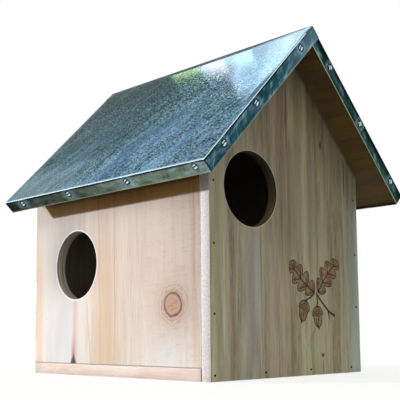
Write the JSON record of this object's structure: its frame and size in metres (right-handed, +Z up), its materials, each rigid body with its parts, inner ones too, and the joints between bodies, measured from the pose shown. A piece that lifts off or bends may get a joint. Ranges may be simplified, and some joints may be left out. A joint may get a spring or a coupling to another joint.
{
  "type": "squirrel nest box",
  "caption": "Pine nest box for squirrels with round entrances in its front gable and left wall, a folded metal roof and a hinged clean-out door at the back.",
  "frame": {"origin": "bottom centre of the overall box, level with the underside of the floor board", "axes": "+X to the right seen from the front gable, -Y out of the front gable, +Z up to the ridge"},
  "size_m": [0.314, 0.3396, 0.3607],
  "materials": {
    "pine": "planed, untreated, with growth bands and knots",
    "gable_pine": "planed, untreated, grey-brown upright grain",
    "roof_board_pine": "planed, untreated",
    "galvanised_sheet": "galvanised, mottled, half dull",
    "zinc_plated_steel": "zinc plated",
    "nail_steel": "bare, dull"
  },
  "bodies": {
    "nest_box": {"right_wall": "pine", "floor_board": "pine", "rear_gable": "pine", "left_wall": "pine", "head_stop": "pine", "sill_stop": "pine", "front_gable": "gable_pine", "left_roof_board": "roof_board_pine", "right_roof_board": "roof_board_pine", "roof_sheet": "galvanised_sheet", "left_eave_pins": "zinc_plated_steel", "right_eave_pins": "zinc_plated_steel", "front_rake_pins": "zinc_plated_steel", "rear_rake_pins": "zinc_plated_steel", "upper_hinge_wall_leaf": "zinc_plated_steel", "upper_hinge_pin": "zinc_plated_steel", "lower_hinge_wall_leaf": "zinc_plated_steel", "lower_hinge_pin": "zinc_plated_steel", "wall_leaf_screws": "zinc_plated_steel", "turn_button_washer": "zinc_plated_steel", "turn_button_screw": "zinc_plated_steel", "left_hanger_plate": "zinc_plated_steel", "right_hanger_plate": "zinc_plated_steel", "hanger_screws": "zinc_plated_steel", "front_wall_brads": "nail_steel", "front_floor_brads": "nail_steel", "floor_nails": "nail_steel", "front_roof_nails": "nail_steel", "rear_roof_nails": "nail_steel", "ridge_nails": "nail_steel", "stop_brads": "nail_steel"},
    "door": {"clean_out_door": "pine", "upper_hinge_door_leaf": "zinc_plated_steel", "lower_hinge_door_leaf": "zinc_plated_steel", "door_leaf_screws": "zinc_plated_steel"},
    "button": {"turn_button": "zinc_plated_steel"}
  },
  "joints": [
    {"name": "door_hinge", "type": "hinge", "parent": "nest_box", "child": "door", "pos_m": [0.104, 0.16545, 0.09863], "axis": [0, 0, -1], "range_deg": [0, 180]},
    {"name": "turn_button_pivot", "type": "hinge", "parent": "nest_box", "child": "button", "pos_m": [-0.111, 0.1648, 0.09863], "axis": [0, -1, 0], "range_deg": [0, 90]}
  ]
}
